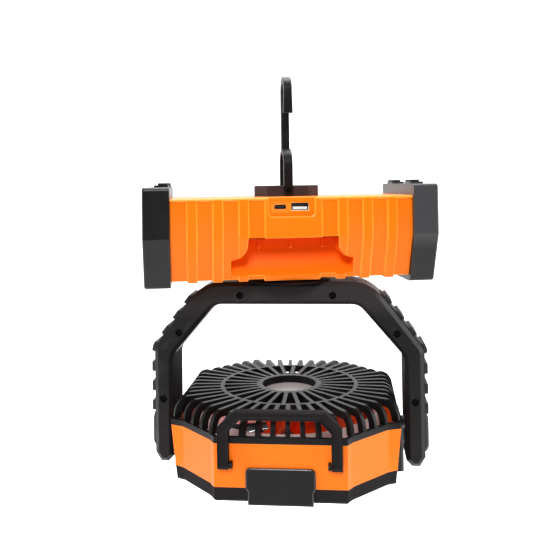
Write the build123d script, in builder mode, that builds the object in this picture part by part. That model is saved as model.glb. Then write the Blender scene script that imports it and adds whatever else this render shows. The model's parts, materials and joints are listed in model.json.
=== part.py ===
"""Portable camping fan: battery base, swivelling C-bracket and tilting octagonal fan head.

The fan hangs from the folding hook of its base, so the base is on top and the head's rear grille
faces up. Base, bracket and head are modelled about the swivel axis, with z = 0 at the level of the
base's swivel side, then set in place so that the origin is the point where the hook hangs.
"""
import os
from math import atan2, cos, degrees, radians, sin

from build123d import *

os.makedirs("parts", exist_ok=True)

# ---------------------------------------------------------------- driving dimensions, mm and degrees
wall = 2.4                    # moulded housings
seat_gap = 0.3                # between faces of pieces that move past each other
bore_clearance = 0.05         # radial, on pins and bolts that turn
press_clearance = 0.0         # radial, on pieces held still in their hole

# base
base_length = 224.0
base_depth = 88.4
cap_height = 76.1
cap_length = 19.8
cap_corner = 3.0
cap_edge = 1.8
slant_height = 37.8           # the long faces lean in below this height
slant_inset = 14.5
body_inset = 2.0              # ribs sit this far behind the caps' faces
body_top_step = 8.7           # the caps stand this far above the body
body_bottom_step = 3.4
top_bead = 2.2                # band left along the body's top edge
pocket_depth = 1.4            # panels between the ribs
rib_width = 7.4
rib_pitch = 19.2
first_rib = 37.6
ribs_per_side = 3
panel_half = 21.6             # raised panel in the middle of each face
spigot_length = 5.0
spigot_clearance = 0.1

# hand grip recess in the rear face
grip_half = 47.0
grip_ledge = 36.7
grip_bottom = 7.4
grip_back = 20.0              # distance of its back wall from the middle of the base
grip_tab = 12.6               # rounded tabs in its upper corners
grip_tab_drop = 4.0
finger_rib_pitch = 25.0
finger_rib_width = 2.0
finger_rib_length = 9.0

# charging ports
port_window_width = 35.4
port_window_x = -1.3
port_window_bottom = 52.6
port_window_depth = 2.2
port_z = 60.1
usb_c_x = -10.0
usb_c_width = 8.94
usb_c_height = 3.26
usb_c_pocket = 1.6            # shallow pocket round the small socket
usb_a_x = 5.0
usb_a_width = 13.1
usb_a_height = 5.7
usb_depth = 10.0
usb_metal = 0.35
board_thick = 1.6
board_width = 50.0
board_spacer = 5.0            # control board to the front wall

# feet
foot_rows = (-25.0, 25.0)
foot_length = 16.0
foot_step = 1.6               # plastic platform, and the rubber pad on it
foot_platform_width = 10.9
foot_pad_width = 7.6
foot_inset = 0.8              # from the cap's inner face

# hook and its block
block_half_length = 26.0
block_half_depth = 10.0
block_chamfer = 9.4
hook_pin_radius = 2.0
hook_pin_drop = 4.0           # below the top of the block
hook_leg_width = 7.0
hook_leg_thick = 3.8
hook_leg_gap = 0.4            # from each leg to the block
stirrup_height = 33.6         # pin to the top of the stirrup
hook_neck_width = 6.3
hook_neck_thick = 5.6
hook_neck_y = 3.0
hook_bend_radius = 9.4
hook_reach = 90.8             # pin to the top of the bend
hook_tip_width = 7.6
hook_tip_drop = 17.5          # bend centre to the tip's end

# inside the base
cell_radius = 10.5
cell_length = 70.0
cell_pitch = 21.8
cell_floor = 29.0             # height of the lower row of cells
cell_row_y = -2.0
holder_plate = 3.0
boss_radius = 3.6
boss_x = 84.0
boss_heights = (17.0, 57.0)
screw_radius = 1.4
screw_head_radius = 2.7
button_radius = 6.0
button_x = 12.0
button_z = 48.0
button_stroke = 1.2
button_proud = 1.7
button_clearance = 0.35
indicator_width = 16.0
indicator_height = 5.0
indicator_z = 59.0

# swivel
swivel_rest = -12.3
swivel_disc_radius = 34.0
swivel_top_radius = 16.0
swivel_disc_edge = 0.5
swivel_bolt_radius = 4.0
swivel_bolt_head_radius = 7.0
swivel_bolt_head = 4.5
washer_radius = 9.0
washer_thick = 1.5
nut_radius = 6.5
nut_thick = 6.0

# bracket
bracket_width = 37.0
bracket_top = 0.5
crossbar_thick = 17.6
arm_inner = 90.9
arm_thick = 14.8
shoulder_outer = 66.0         # where the diagonal leaves the crossbar, outside
shoulder_inner = 56.5
diagonal_outer_end = 51.7     # height lost where it meets the arm, outside
diagonal_inner_end = 57.2
bracket_chamfer = 3.2
outer_bend = 32.0
elbow_bend = 10.0
inner_bend = 12.0
arm_end_chamfer = 4.5
bracket_screws = ((36.4, -9.9), (85.4, -39.3), (98.4, -91.4))
bracket_screw_radius = 2.9
bracket_screw_recess = 3.0
tread_length = 7.8
tread_pitch = 15.4
tread_thick = 3.2
strip_thick = 1.0
treads_per_diagonal = 3
treads_per_arm = 3
first_diagonal_tread = 19.5   # along the diagonal from the shoulder corner
first_arm_tread = 67.2        # below the crossbar
strip_start = 13.0            # along the diagonal
grip_strip_width = 26.0
pivot_drop = 118.0            # tilt axis below the base's swivel side
arm_end_drop = 141.0
pivot_cap_length = 29.0
pivot_cap_width = 25.0
pivot_cap_thick = 3.3
pivot_bolt_radius = 4.0
pivot_bolt_start = 73.5       # heads inside the fan head
pivot_bolt_end = 102.0
pivot_boss_radius = 10.2
pivot_plate_width = 50.0
pivot_plate_face = 88.4       # outer face of the head's side plates
pivot_plate_top = 106.0

# head: outline at the top of the band, and the lower one it tapers to
head_front = 81.5
head_side_top = 85.1
head_side_bottom = 82.0
head_side_lip = 81.0
facet_half = 46.4
corner_near = 50.2            # corner between a main facet's step and the diagonal
corner_far = 75.2
grille_top = -82.9
rim_top = -97.2
band_top = -101.6
band_bottom = -131.6
bezel_bottom = -141.5
band_wall = 2.6
rim_wall = 3.0
bezel_wall = 4.0
bezel_floor = 3.0
bezel_lip = 1.5               # slope round the bezel's lower edge
head_screw_offset = 57.5

# rear grille
fin_count = 48
inner_fin_count = 30
fin_width = 3.2
inner_fin_width = 3.0
fin_depth = 5.5
shoulder_width = 10.5
mid_ring_radius = 55.1
mid_ring_width = 3.2
hub_ring_radius = 25.8
hub_recess_radius = 21.4
hub_recess_depth = 5.6
hub_floor = 2.0

# fan
duct_radius = 71.5
duct_wall = 2.0
duct_flange = 2.0
duct_top = -99.0
blade_radius = 68.0
blade_count = 7
blade_thick = 1.6
blade_root_chord = 28.0
blade_tip_chord = 42.0
blade_root_pitch = 42.0
blade_tip_pitch = 26.0
rotor_hub_radius = 19.0
rotor_top = -95.0
rotor_height = 20.0
rotor_wall = 2.0
motor_radius = 16.0
motor_height = 11.0
motor_floor = -133.0
shaft_radius = 1.5
spoke_count = 3
spoke_width = 7.0

# lamp and front grille
lens_outer = 77.5
lens_thick = 2.5
lamp_count = 24
front_ring_width = 3.0
front_bar_width = 1.8
front_bar_count = 24
front_grille_thick = 3.0
front_hub_radius = 20.0
front_rings = (58.0, 46.0, 34.0)
guard_collar = 14.0

# rear plate and bail handle on the head's upper facet
plate_half = 24.3
plate_lower_half = 22.8
plate_step = -132.0
plate_top = -117.6
plate_bottom = -143.0
plate_thick = 1.9
plate_corner = 3.5
bail_outer = 42.9
bail_inner = 35.4
bail_top = -76.9
bail_bar = 6.6
bail_corner = 12.3
bail_inner_corner = 8.3
bail_thick = 5.4
bail_pin_z = -115.1
bail_pin_radius = 1.25
bail_off_face = 3.4           # pin axis from the facet
lug_thick = 2.2
lug_height = 4.2
bail_slot_width = 3.8
bail_slot_height = 2.4

# ---------------------------------------------------------------- sizes worked out from those above
half_inner = base_length / 2 - cap_length
body_top = cap_height - body_top_step
hook_pin_z = cap_height - hook_pin_drop
bend_z = hook_pin_z + hook_reach - hook_bend_radius - hook_neck_thick / 2
bend_y = hook_neck_y - hook_bend_radius
hang_z = bend_z + hook_bend_radius - hook_neck_thick / 2
leg_y = block_half_depth + hook_leg_gap + hook_leg_thick / 2
inner_inset = body_inset + pocket_depth + wall
cavity_half = base_depth / 2 - inner_inset
cavity_floor = body_bottom_step + pocket_depth + wall
cavity_roof = body_top - wall
arm_outer = arm_inner + arm_thick
pivot_z = -pivot_drop
pin_y = -(head_front + bail_off_face)
pivot_x = arm_inner + arm_thick / 2
diagonal_angle = atan2(diagonal_outer_end + bracket_top, arm_outer - shoulder_outer)
treads = [
    (
        shoulder_outer + (first_diagonal_tread + i * tread_pitch) * cos(diagonal_angle),
        bracket_top - (first_diagonal_tread + i * tread_pitch) * sin(diagonal_angle),
        -degrees(diagonal_angle),
    )
    for i in range(treads_per_diagonal)
]
strip_cut = 10.0
strip_x = shoulder_outer + strip_start * cos(diagonal_angle)
strip_z = bracket_top - strip_start * sin(diagonal_angle)
strip_end = -(pivot_drop - pivot_cap_length / 2)
strip_region = [
    (strip_x - strip_cut * sin(diagonal_angle), strip_z - strip_cut * cos(diagonal_angle)),
    (strip_x + strip_cut * sin(diagonal_angle), strip_z + strip_cut * cos(diagonal_angle)),
    (arm_outer + strip_cut, -diagonal_outer_end + strip_cut), (arm_outer + strip_cut, strip_end),
    (pivot_x, strip_end), (pivot_x, -(diagonal_outer_end + diagonal_inner_end) / 2),
]
treads.append((arm_outer, -diagonal_outer_end, -(90 + degrees(diagonal_angle)) / 2))
treads += [(arm_outer, -(first_arm_tread + i * tread_pitch), 90) for i in range(treads_per_arm)]

# the base hangs below the hook's bend, the bracket and head are turned on the swivel
base_place = Location((0, -bend_y, -hang_z))
head_place = base_place * Location((0, 0, 0), (0, 0, swivel_rest))


def save(piece, name, place):
    """Label a finished piece, set it in place and write it."""
    piece.part.label = name
    export_step(piece.part.moved(place), f"parts/{name}.step")


# ---------------------------------------------------------------- base
def base_section(inset, top, bottom):
    """Section across the base, its long faces moved in by inset; drawn in Plane.YZ."""
    half = base_depth / 2 - inset
    lean = slant_inset * (slant_height - bottom) / slant_height
    return Polygon(
        (-half, top), (half, top), (half, slant_height), (half - lean, bottom),
        (lean - half, bottom), (-half, slant_height), align=None,
    )


def scoop_section(grow):
    """Section of the hand grip recess, open to the rear; drawn in Plane.YZ."""
    half = base_depth / 2 - body_inset
    lean = slant_inset * (slant_height - grip_bottom) / slant_height
    roof, back, floor = grip_ledge + grow, -grip_back + grow, grip_bottom - grow
    lip = lean - half + 2 * grow
    with BuildLine() as scoop_line:
        Polyline((-base_depth, floor), (-base_depth, roof), (back, roof), (back, roof - 4))
        TangentArc((back, roof - 4), (lip, floor), tangent=(0, -1))
        Line((lip, floor), (-base_depth, floor))
    return make_face(scoop_line.edges())


# panels sunk between the ribs, along both long faces and the swivel side
rib_starts = [first_rib - rib_width / 2 + rib_pitch * i for i in range(ribs_per_side)]
pocket_starts = [panel_half] + [start + rib_width for start in rib_starts]
pocket_ends = rib_starts + [half_inner + 1]

with BuildPart() as pockets:
    for start, end in zip(pocket_starts, pocket_ends):
        with BuildSketch(Plane.YZ.offset(start)):
            Rectangle(base_depth, 2 * (body_top - top_bead))
            with BuildSketch(mode=Mode.SUBTRACT):
                base_section(body_inset + pocket_depth, body_top, body_bottom_step + pocket_depth)
        extrude(amount=end - start)
    mirror(about=Plane.YZ)

with BuildPart() as cavity:
    with BuildSketch(Plane.YZ):
        base_section(inner_inset, cavity_roof, cavity_floor)
    extrude(amount=half_inner + spigot_length, both=True)

# screw bosses that run between the long faces
with BuildPart() as bosses:
    with BuildSketch(Plane.XZ):
        with Locations(*[(x, z) for x in (-boss_x, boss_x) for z in boss_heights]):
            Circle(boss_radius)
    extrude(amount=base_depth / 2, both=True)
    with BuildSketch(Plane.YZ):
        base_section(inner_inset - wall / 2, cavity_roof, cavity_floor)
    extrude(amount=half_inner, both=True, mode=Mode.INTERSECT)

# spigots at both ends, which plug into the caps
with BuildPart() as base_blank:
    with BuildSketch(Plane.YZ):
        base_section(body_inset, body_top, body_bottom_step)
    extrude(amount=half_inner, both=True)
    chamfer(edges().filter_by(Axis.X).group_by(Axis.Z)[-1], 1.0)
    add(pockets.part, mode=Mode.SUBTRACT)
    with BuildSketch(Plane.YZ):
        base_section(inner_inset - wall / 2, cavity_roof + wall / 2, cavity_floor - wall / 2)
    extrude(amount=half_inner + spigot_length, both=True)
    add(cavity.part, mode=Mode.SUBTRACT)
    add(bosses.part)
    with BuildSketch(Plane.XY):
        Circle(swivel_bolt_radius + bore_clearance)
    extrude(amount=cavity_floor + 1, mode=Mode.SUBTRACT)

with BuildPart() as grip_scoop:
    with BuildSketch(Plane.YZ):
        scoop_section(0)
    extrude(amount=grip_half, both=True)
    tab_z = grip_ledge - grip_tab_drop
    for side in (-1, 1):
        with BuildSketch(Plane.XZ):
            with BuildLine():
                Polyline(
                    (side * (grip_half - grip_tab), tab_z), (side * (grip_half - grip_tab), grip_ledge + 1),
                    (side * (grip_half + 1), grip_ledge + 1), (side * (grip_half + 1), tab_z - grip_tab),
                    (side * grip_half, tab_z - grip_tab),
                )
                RadiusArc(
                    (side * grip_half, tab_z - grip_tab), (side * (grip_half - grip_tab), tab_z),
                    side * grip_tab,
                )
            make_face()
        extrude(amount=base_depth, both=True, mode=Mode.SUBTRACT)
    with BuildSketch(Plane.XZ.offset(grip_back)):
        with Locations(*[(i * finger_rib_pitch, grip_ledge - finger_rib_length / 2) for i in (-1, 0, 1)]):
            Rectangle(finger_rib_width, finger_rib_length)
    extrude(amount=2.0, mode=Mode.SUBTRACT)

# rear housing, with the hand grip and the charging ports
with BuildPart() as base_rear_shell:
    with BuildSketch(Plane.YZ):
        scoop_section(wall)
    extrude(amount=grip_half + wall, both=True)
    with BuildSketch(Plane.YZ):
        base_section(body_inset + pocket_depth, body_top, body_bottom_step + pocket_depth)
    extrude(amount=half_inner, both=True, mode=Mode.INTERSECT)
    add(base_blank.part)
    split(bisect_by=Plane.XZ, keep=Keep.TOP)
    add(grip_scoop.part, mode=Mode.SUBTRACT)
    # port window, open at the top edge
    window_face = Plane.XZ.offset(base_depth / 2 - body_inset - port_window_depth)
    with BuildSketch(window_face):
        with Locations((port_window_x, port_window_bottom + port_window_width / 2)):
            RectangleRounded(port_window_width, port_window_width, 3.5)
    extrude(amount=10, mode=Mode.SUBTRACT)
    with BuildSketch(window_face.offset(-0.8)):
        with Locations((usb_c_x, port_z)):
            RectangleRounded(usb_c_width + 2 * usb_c_pocket, usb_c_height + 2 * usb_c_pocket, 1.2)
    extrude(amount=5, mode=Mode.SUBTRACT)
    with BuildSketch(window_face):
        with Locations((usb_c_x, port_z)):
            SlotOverall(usb_c_width, usb_c_height)
        with Locations((usb_a_x, port_z)):
            Rectangle(usb_a_width, usb_a_height)
    extrude(amount=10, both=True, mode=Mode.SUBTRACT)
    # pilot holes for the housing screws
    with BuildSketch(Plane.XZ):
        with Locations(*[(x, z) for x in (-boss_x, boss_x) for z in boss_heights]):
            Circle(screw_radius)
    extrude(amount=12, mode=Mode.SUBTRACT)
save(base_rear_shell, "base_rear_shell", base_place)

# front housing, with the control panel
front_face = Plane.XZ.offset(-(base_depth / 2 - body_inset))
screw_seat = Plane.XZ.offset(-(cavity_half - 12))
with BuildPart() as base_front_shell:
    add(base_blank.part)
    split(bisect_by=Plane.XZ, keep=Keep.BOTTOM)
    with BuildSketch(front_face):
        with Locations((-button_x, button_z), (button_x, button_z)):
            Circle(button_radius + button_clearance)
        with Locations((0, indicator_z)):
            RectangleRounded(indicator_width, indicator_height, 1.5)
    extrude(amount=8, mode=Mode.SUBTRACT)
    with BuildSketch(Plane.XZ):
        with Locations(*[(x, z) for x in (-boss_x, boss_x) for z in boss_heights]):
            Circle(screw_radius)
    extrude(amount=-base_depth, mode=Mode.SUBTRACT)
    with BuildSketch(screw_seat):
        with Locations(*[(x, z) for x in (-boss_x, boss_x) for z in boss_heights]):
            Circle(screw_head_radius)
    extrude(amount=-base_depth, mode=Mode.SUBTRACT)
save(base_front_shell, "base_front_shell", base_place)

# end caps: deeper than the body on every side, with platforms for the feet
with BuildPart() as end_cap_right:
    with BuildSketch(Plane.YZ.offset(half_inner)) as cap_outline:
        base_section(0, cap_height, 0)
        fillet(cap_outline.vertices(), cap_corner)
    extrude(amount=cap_length)
    fillet(faces().sort_by(Axis.X)[-1].edges(), cap_edge)
    with BuildSketch(Plane.YZ.offset(half_inner)):
        base_section(
            inner_inset - wall / 2 - spigot_clearance, cavity_roof + wall / 2 + spigot_clearance,
            cavity_floor - wall / 2 - spigot_clearance,
        )
    extrude(amount=cap_length - wall, mode=Mode.SUBTRACT)
    with BuildSketch(Plane.XY.offset(cap_height - 0.5)):
        with Locations(*[(half_inner + foot_inset + foot_platform_width / 2, y) for y in foot_rows]):
            RectangleRounded(foot_platform_width, foot_length, 1.5)
    extrude(amount=foot_step + 0.5)
save(end_cap_right, "end_cap_right", base_place)

with BuildPart() as end_cap_left:
    mirror(end_cap_right.part, about=Plane.YZ)
save(end_cap_left, "end_cap_left", base_place)

foot_x = half_inner + foot_inset + foot_pad_width / 2 + 0.4
with BuildPart() as feet:
    with BuildSketch(Plane.XY.offset(cap_height + foot_step)):
        with Locations(*[(side * foot_x, y) for side in (-1, 1) for y in foot_rows]):
            RectangleRounded(foot_pad_width, foot_length - 1.2, 1.5)
    extrude(amount=foot_step)
save(feet, "feet", base_place)

# hook block and pin
with BuildPart() as hook_block:
    with BuildSketch(Plane.XY.offset(body_top)) as block_outline:
        Rectangle(2 * block_half_length, 2 * block_half_depth)
        chamfer(block_outline.vertices(), block_chamfer)
    extrude(amount=body_top_step)
    fillet(faces().sort_by(Axis.Z)[-1].edges(), 0.8)
    with BuildSketch(Plane.XZ):
        with Locations((0, hook_pin_z)):
            Circle(hook_pin_radius + press_clearance)
    extrude(amount=block_half_depth * 2, both=True, mode=Mode.SUBTRACT)
save(hook_block, "hook_block", base_place)

with BuildPart() as hook_pin:
    with BuildSketch(Plane.XZ):
        with Locations((0, hook_pin_z)):
            Circle(hook_pin_radius)
    extrude(amount=leg_y + hook_leg_thick / 2 - 0.4, both=True)
save(hook_pin, "hook_pin", base_place)

# hook: a stirrup that straddles the block, a neck and an open bend
leg_top = hook_pin_z + stirrup_height - leg_y - hook_leg_thick / 2
with BuildPart() as hook:
    with BuildSketch(Plane.YZ):
        with BuildLine() as stirrup_line:
            Line((-leg_y, hook_pin_z), (-leg_y, leg_top))
            RadiusArc((-leg_y, leg_top), (leg_y, leg_top), leg_y)
            Line((leg_y, leg_top), (leg_y, hook_pin_z))
        trace(stirrup_line.line, line_width=hook_leg_thick)
    extrude(amount=hook_leg_width / 2, both=True)
    for side in (-1, 1):
        with BuildSketch(Plane.XZ.offset(side * leg_y)):
            with Locations((0, hook_pin_z)):
                Circle(hook_leg_width / 2)
        extrude(amount=hook_leg_thick / 2, both=True)
    with BuildSketch(Plane.YZ):
        with BuildLine() as neck_line:
            Line((hook_neck_y, leg_top + leg_y - 1), (hook_neck_y, bend_z))
            RadiusArc((hook_neck_y, bend_z), (hook_neck_y - 2 * hook_bend_radius, bend_z), -hook_bend_radius)
        trace(neck_line.line, line_width=hook_neck_thick)
    extrude(amount=hook_neck_width / 2, both=True)
    tip_y = hook_neck_y - 2 * hook_bend_radius
    with BuildSketch(Plane.XY.offset(bend_z - hook_tip_drop)):
        with Locations((0, tip_y)):
            RectangleRounded(hook_tip_width, hook_neck_thick, 1.5)
    with BuildSketch(Plane.XY.offset(bend_z)):
        with Locations((0, tip_y)):
            RectangleRounded(hook_neck_width, hook_neck_thick, 0.4)
    loft()
    with BuildSketch(Plane.XZ):
        with Locations((0, hook_pin_z)):
            Circle(hook_pin_radius + bore_clearance)
    extrude(amount=base_depth, both=True, mode=Mode.SUBTRACT)
save(hook, "hook", base_place)


# ---------------------------------------------------------------- inside the base
window_y = -(base_depth / 2 - body_inset - port_window_depth)
with BuildPart() as usb_c_socket:
    with BuildSketch(Plane.XZ.offset(-window_y - 0.8)):
        with Locations((usb_c_x, port_z)):
            SlotOverall(usb_c_width, usb_c_height)
            SlotOverall(usb_c_width - 2 * usb_metal, usb_c_height - 2 * usb_metal, mode=Mode.SUBTRACT)
    extrude(amount=-usb_depth)
    with BuildSketch(Plane.XZ.offset(-window_y - 1.6)):
        with Locations((usb_c_x, port_z)):
            Rectangle(usb_c_width - 2.4, 0.7)
    extrude(amount=-(usb_depth - 0.8))
    with BuildSketch(Plane.XZ.offset(-window_y - usb_depth)):
        with Locations((usb_c_x, port_z)):
            SlotOverall(usb_c_width, usb_c_height)
    extrude(amount=-0.8)
save(usb_c_socket, "usb_c_socket", base_place)

with BuildPart() as usb_a_socket:
    with BuildSketch(Plane.XZ.offset(-window_y - 0.2)):
        with Locations((usb_a_x, port_z)):
            Rectangle(usb_a_width, usb_a_height)
            Rectangle(usb_a_width - 2 * usb_metal, usb_a_height - 2 * usb_metal, mode=Mode.SUBTRACT)
    extrude(amount=-usb_depth)
    with BuildSketch(Plane.XZ.offset(-window_y - 1.0)):
        with Locations((usb_a_x, port_z - 1.0)):
            Rectangle(usb_a_width - 2.2, 1.9)
    extrude(amount=-(usb_depth - 0.8))
    with BuildSketch(Plane.XZ.offset(-window_y - usb_depth)):
        with Locations((usb_a_x, port_z)):
            Rectangle(usb_a_width, usb_a_height)
    extrude(amount=-0.8)
save(usb_a_socket, "usb_a_socket", base_place)

board_top = port_z - usb_a_height / 2
ledge_top = grip_ledge + wall
with BuildPart() as charge_board:
    with BuildSketch(Plane.XY.offset(board_top - board_thick)):
        with Locations((0, -(cavity_half + grip_back - wall) / 2 - 1.0)):
            Rectangle(2 * panel_half, cavity_half - grip_back + wall - 3)
    extrude(amount=board_thick)
    # spacers that stand on the roof of the hand grip
    with BuildSketch(Plane.XY.offset(ledge_top)):
        with Locations((-panel_half + 4, -cavity_half + 8), (panel_half - 4, -cavity_half + 8)):
            Circle(2.5)
    extrude(amount=board_top - board_thick - ledge_top)
    with BuildSketch(Plane.XY.offset(board_top)):
        with Locations((usb_c_x, window_y + usb_depth / 2)):
            Rectangle(usb_c_width - 3, usb_depth - 6)
    extrude(amount=port_z - usb_c_height / 2 - board_top)
save(charge_board, "charge_board", base_place)

cell_rows = [cell_row_y, cell_row_y + cell_pitch]
cell_heights = [cell_floor, cell_floor + cell_pitch]
cell_x = cell_length / 2 + 2
with BuildPart() as battery_cells:
    for side in (-1, 1):
        with BuildSketch(Plane.YZ.offset(side * cell_x)):
            with Locations(*[(y, z) for y in cell_rows for z in cell_heights]):
                Circle(cell_radius)
        extrude(amount=cell_length / 2, both=True)
save(battery_cells, "battery_cells", base_place)

holder_low_y = cell_row_y - cell_radius - 1.5
board_y = cavity_half - board_spacer
with BuildPart() as cell_holder:
    for x in (-cell_length + 4, -12, 12, cell_length - 4):
        with BuildSketch(Plane.YZ.offset(x)):
            base_section(inner_inset, cavity_roof, cavity_floor)
            with Locations((holder_low_y - base_depth, cell_floor)):
                Rectangle(2 * base_depth, 2 * base_depth, mode=Mode.SUBTRACT)
            with Locations(*[(y, z) for y in cell_rows for z in cell_heights]):
                Circle(cell_radius, mode=Mode.SUBTRACT)
        extrude(amount=holder_plate / 2, both=True)
    # room for the control board and its buttons
    with BuildSketch(Plane.XZ.offset(-(board_y - board_thick - 0.4))):
        with Locations((0, cavity_roof)):
            Rectangle(board_width + 4, 2 * (cavity_roof - button_z + 10))
    extrude(amount=-base_depth, mode=Mode.SUBTRACT)
    # rail that joins the plates between the four cells
    with BuildSketch(Plane.YZ):
        with Locations((cell_row_y + cell_pitch / 2, cell_floor + cell_pitch / 2)):
            Rectangle(4.0, 4.0)
    extrude(amount=cell_length - 4, both=True)
save(cell_holder, "cell_holder", base_place)

with BuildPart() as control_board:
    with BuildSketch(Plane.XZ.offset(-board_y)):
        with Locations((0, (button_z + indicator_z) / 2 - 1)):
            Rectangle(board_width, 21)
    extrude(amount=board_thick)
    with BuildSketch(Plane.XZ.offset(-board_y)):
        with Locations(*[(x, z) for x in (-22, 22) for z in (button_z - 4, indicator_z + 1)]):
            Circle(2.0)
    extrude(amount=-board_spacer)
save(control_board, "control_board", base_place)

button_back = board_y + 0.4 + button_stroke
for side, name in ((-1, "fan_button"), (1, "lamp_button")):
    with BuildPart() as button:
        with BuildSketch(Plane.XZ.offset(-button_back)):
            with Locations((side * button_x, button_z)):
                Circle(button_radius)
        extrude(amount=-(base_depth / 2 - body_inset + button_proud - button_back))
        fillet(faces().sort_by(Axis.Y)[-1].edges(), 0.9)
        # flange that keeps the button in its hole
        with BuildSketch(Plane.XZ.offset(-button_back)):
            with Locations((side * button_x, button_z)):
                Circle(button_radius + 1.6)
        extrude(amount=-(cavity_half - button_back - seat_gap))
    save(button, name, base_place)

with BuildPart() as indicator_window:
    with BuildSketch(Plane.XZ.offset(-cavity_half)):
        with Locations((0, indicator_z)):
            RectangleRounded(indicator_width, indicator_height, 1.5)
    extrude(amount=-(base_depth / 2 - body_inset - cavity_half))
save(indicator_window, "indicator_window", base_place)

with BuildPart() as base_screws:
    with BuildSketch(Plane.XZ.offset(10)):
        with Locations(*[(x, z) for x in (-boss_x, boss_x) for z in boss_heights]):
            Circle(screw_radius)
    extrude(amount=-(cavity_half - 12 + 10))
    with BuildSketch(screw_seat):
        with Locations(*[(x, z) for x in (-boss_x, boss_x) for z in boss_heights]):
            Circle(screw_head_radius)
    extrude(amount=-2.0)
save(base_screws, "base_screws", base_place)


# ---------------------------------------------------------------- swivel
bearing_z = body_bottom_step - seat_gap       # top of the disc, just clear of the base
with BuildPart() as swivel_disc:
    with BuildSketch(Plane.XZ) as disc_half:
        with BuildLine():
            Polyline(
                (0, bearing_z), (0, bracket_top), (swivel_disc_radius, bracket_top),
                (swivel_disc_radius, bracket_top + swivel_disc_edge),
            )
            RadiusArc(
                (swivel_disc_radius, bracket_top + swivel_disc_edge), (swivel_top_radius, bearing_z), -90,
            )
            Line((swivel_top_radius, bearing_z), (0, bearing_z))
        make_face()
    revolve(axis=Axis.Z)
    with BuildSketch(Plane.XY.offset(bracket_top)):
        Circle(swivel_bolt_radius)
    extrude(amount=10, mode=Mode.SUBTRACT)
save(swivel_disc, "swivel_disc", head_place)

bolt_head_z = bracket_top - wall - swivel_bolt_head
nut_z = cavity_floor + seat_gap + washer_thick
with BuildPart() as swivel_bolt:
    with BuildSketch(Plane.XY.offset(bolt_head_z)):
        RegularPolygon(swivel_bolt_head_radius, 6)
    extrude(amount=swivel_bolt_head)
    with BuildSketch(Plane.XY.offset(bolt_head_z)):
        Circle(swivel_bolt_radius)
    extrude(amount=nut_z + nut_thick - bolt_head_z)
save(swivel_bolt, "swivel_bolt", head_place)

with BuildPart() as swivel_washer:
    with BuildSketch(Plane.XY.offset(cavity_floor + seat_gap)):
        Circle(washer_radius)
        Circle(swivel_bolt_radius, mode=Mode.SUBTRACT)
    extrude(amount=washer_thick)
save(swivel_washer, "swivel_washer", head_place)

with BuildPart() as swivel_nut:
    with BuildSketch(Plane.XY.offset(nut_z)):
        RegularPolygon(nut_radius, 6)
        Circle(swivel_bolt_radius, mode=Mode.SUBTRACT)
    extrude(amount=nut_thick)
save(swivel_nut, "swivel_nut", head_place)


# ---------------------------------------------------------------- bracket
def moved_in(corners, distance):
    """Corners of a clockwise outline whose sides are all moved in by a distance."""
    moved = []
    for before, corner, after in zip(corners[-1:] + corners[:-1], corners, corners[1:] + corners[:1]):
        heading = atan2(corner[1] - before[1], corner[0] - before[0])
        half_turn = (atan2(after[1] - corner[1], after[0] - corner[0]) - heading) / 2
        shift = distance / cos(half_turn)
        bisector = heading + half_turn
        moved.append((corner[0] + shift * sin(bisector), corner[1] - shift * cos(bisector)))
    return moved


def bracket_outline(inset):
    """Side face of the C-bracket with its edges moved in; drawn in Plane.XZ."""
    right = [
        (shoulder_outer, bracket_top), (arm_outer, -diagonal_outer_end),
        (arm_outer, -arm_end_drop + 1.6 * arm_end_chamfer), (arm_outer - arm_end_chamfer, -arm_end_drop),
        (arm_inner + arm_end_chamfer, -arm_end_drop), (arm_inner, -arm_end_drop + arm_end_chamfer),
        (arm_inner, -diagonal_inner_end), (shoulder_inner, bracket_top - crossbar_thick),
    ]
    corners = moved_in(right + [(-x, z) for x, z in reversed(right)], inset)
    bends = (
        (0, outer_bend - inset), (1, elbow_bend - inset), (6, inner_bend + inset), (7, inner_bend + inset),
    )
    with BuildSketch() as outline:
        Polygon(*corners, align=None)
        for corner, radius in bends:
            pair = [outline.vertices().sort_by_distance(corners[i])[0] for i in (corner, -1 - corner)]
            fillet(pair, radius)
    return outline.sketch


def both_sides(points):
    """Points and their mirror images in the middle plane."""
    return [(side * x, z) for side in (-1, 1) for x, z in points]


half_width = bracket_width / 2
with BuildPart() as bracket_void:
    with BuildSketch(Plane.XZ):
        add(bracket_outline(wall))
        with Locations(*both_sides(bracket_screws)):
            Circle(bracket_screw_radius + wall - 0.6, mode=Mode.SUBTRACT)
        with Locations((-pivot_x, pivot_z), (pivot_x, pivot_z)):
            Rectangle(arm_thick, 2 * pivot_boss_radius, mode=Mode.SUBTRACT)
    extrude(amount=half_width - wall, both=True)

with BuildPart() as bracket_blank:
    with BuildSketch(Plane.XZ):
        add(bracket_outline(0))
    extrude(amount=half_width, both=True)
    chamfer(faces().sort_by(Axis.Y)[0].edges() + faces().sort_by(Axis.Y)[-1].edges(), bracket_chamfer)
    add(bracket_void.part, mode=Mode.SUBTRACT)
    with BuildSketch(Plane.XZ):
        with Locations(*both_sides(bracket_screws)):
            Circle(screw_radius)
    extrude(amount=half_width - bracket_screw_recess, both=True, mode=Mode.SUBTRACT)
    with BuildSketch(Plane.XZ.offset(half_width - bracket_screw_recess)):
        with Locations(*both_sides(bracket_screws)):
            Circle(bracket_screw_radius)
    extrude(amount=half_width, mode=Mode.SUBTRACT)
    # holes for the swivel bolt and the tilt pivots
    with BuildSketch(Plane.XY.offset(bracket_top)):
        Circle(swivel_bolt_radius)
    extrude(amount=-2 * wall, mode=Mode.SUBTRACT)
    with BuildSketch(Plane.YZ):
        with Locations((0, pivot_z)):
            Circle(pivot_bolt_radius)
    extrude(amount=pivot_bolt_end, both=True, mode=Mode.SUBTRACT)

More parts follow.
